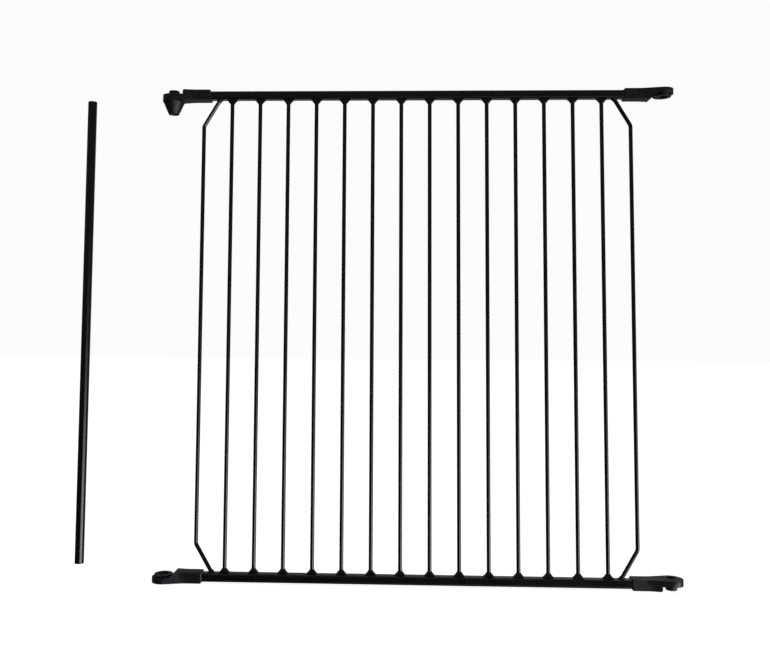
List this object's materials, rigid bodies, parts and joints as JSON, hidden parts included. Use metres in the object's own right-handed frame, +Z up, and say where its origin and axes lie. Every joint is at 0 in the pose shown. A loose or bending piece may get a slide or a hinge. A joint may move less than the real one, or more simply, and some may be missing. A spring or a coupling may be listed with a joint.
{
  "type": "pet gate panel",
  "caption": "Upright barred steel gate panel with toothed plastic hinge connectors at its corners and a loose round connecting tube beside it.",
  "frame": {"origin": "on the left hinge axis, at the lower end of the lower left connector's bore, which is the panel's base plane", "axes": "+X along the panel from the left hinge axis to the right one, +Y away from the viewer who has the tube at the left, +Z up"},
  "size_m": [0.8685, 0.033, 0.7174],
  "materials": {
    "coated_steel": "satin black powder coat on steel",
    "moulded_plastic": "fine grained charcoal moulded plastic"
  },
  "bodies": {
    "panel": {"top_rail": "coated_steel", "bottom_rail": "coated_steel", "bar_01": "coated_steel", "bar_02": "coated_steel", "bar_03": "coated_steel", "bar_04": "coated_steel", "bar_05": "coated_steel", "bar_06": "coated_steel", "bar_07": "coated_steel", "bar_08": "coated_steel", "bar_09": "coated_steel", "bar_10": "coated_steel", "bar_11": "coated_steel", "bar_12": "coated_steel", "bar_13": "coated_steel", "bar_14": "coated_steel", "left_end_bar": "coated_steel", "right_end_bar": "coated_steel", "top_weld_collars": "coated_steel", "bottom_weld_collars": "coated_steel", "upper_left_connector": "moulded_plastic", "upper_right_connector": "moulded_plastic", "lower_left_connector": "moulded_plastic", "lower_right_connector": "moulded_plastic"},
    "connecting_tube": {"connecting_tube": "coated_steel"}
  },
  "joints": [
    {"name": "tube_lift", "type": "slide", "parent": "panel", "child": "connecting_tube", "axis": [0, 0, 1], "range_m": [0, 0.3]}
  ]
}
